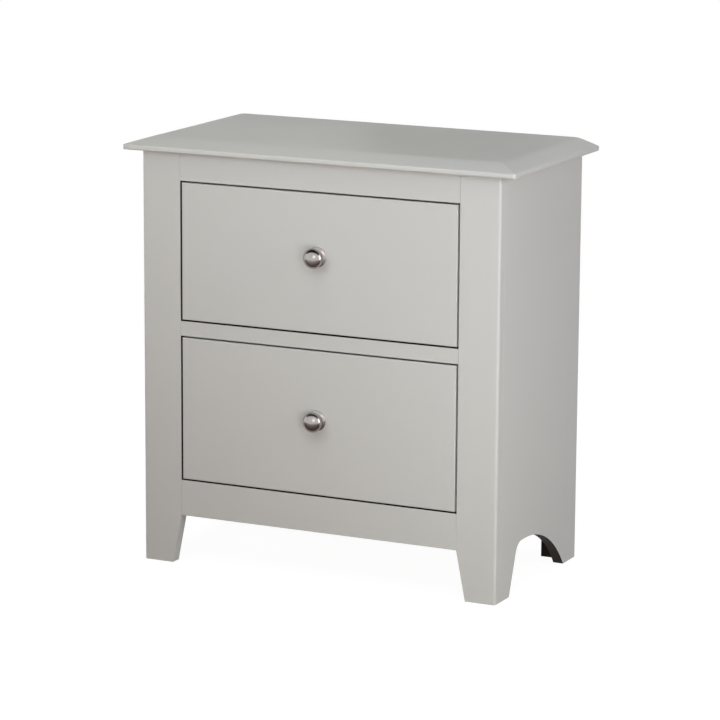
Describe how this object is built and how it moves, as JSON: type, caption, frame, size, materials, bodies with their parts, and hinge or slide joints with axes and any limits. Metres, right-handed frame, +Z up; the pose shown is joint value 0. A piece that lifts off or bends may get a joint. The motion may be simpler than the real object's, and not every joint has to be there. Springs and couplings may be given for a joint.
{
  "type": "nightstand",
  "caption": "Painted wooden nightstand with flush drawers on centre guides, round metal knobs, tapered front feet, arched sides and an overhanging top with a moulded edge.",
  "frame": {"origin": "on the floor, under the middle of the box that runs from the knobs' faces to the back", "axes": "+Z up, +X to the viewer's right when facing the drawers, drawer fronts face -Y"},
  "size_m": [0.622, 0.3244, 0.635],
  "materials": {
    "painted_wood": "satin paint",
    "drawer_wood": "sealed, unpainted",
    "stained_wood": "dark stain",
    "guide_hardwood": "waxed",
    "hardboard": "smooth hardboard",
    "nylon": "moulded",
    "zinc_steel": "zinc plated",
    "satin_nickel": "satin nickel"
  },
  "bodies": {
    "case": {"top_panel": "painted_wood", "left_side_panel": "painted_wood", "right_side_panel": "painted_wood", "left_front_stile": "painted_wood", "right_front_stile": "painted_wood", "top_rail": "painted_wood", "middle_rail": "painted_wood", "bottom_rail": "painted_wood", "bottom_web_rail": "stained_wood", "left_rear_post": "stained_wood", "right_rear_post": "stained_wood", "rear_top_rail": "stained_wood", "rear_middle_rail": "stained_wood", "rear_bottom_rail": "stained_wood", "back_panel": "hardboard", "left_top_cleat": "stained_wood", "right_top_cleat": "stained_wood", "left_corner_block": "stained_wood", "right_corner_block": "stained_wood", "upper_guide_track": "guide_hardwood", "lower_guide_track": "guide_hardwood", "upper_rail_glides": "nylon", "lower_rail_glides": "nylon", "track_screws": "zinc_steel"},
    "upper_drawer": {"upper_drawer_front": "painted_wood", "upper_box_front": "drawer_wood", "upper_box_left_side": "drawer_wood", "upper_box_right_side": "drawer_wood", "upper_box_back": "drawer_wood", "upper_drawer_bottom": "hardboard", "upper_guide_clip": "nylon", "upper_front_screws": "zinc_steel", "upper_clip_screws": "zinc_steel", "upper_knob": "satin_nickel", "upper_knob_screw": "zinc_steel"},
    "lower_drawer": {"lower_drawer_front": "painted_wood", "lower_box_front": "drawer_wood", "lower_box_left_side": "drawer_wood", "lower_box_right_side": "drawer_wood", "lower_box_back": "drawer_wood", "lower_drawer_bottom": "hardboard", "lower_guide_clip": "nylon", "lower_front_screws": "zinc_steel", "lower_clip_screws": "zinc_steel", "lower_knob": "satin_nickel", "lower_knob_screw": "zinc_steel"}
  },
  "joints": [
    {"name": "upper_drawer_slide", "type": "slide", "parent": "case", "child": "upper_drawer", "axis": [0, -1, 0], "range_m": [0, 0.194]},
    {"name": "lower_drawer_slide", "type": "slide", "parent": "case", "child": "lower_drawer", "axis": [0, -1, 0], "range_m": [0, 0.194]}
  ]
}
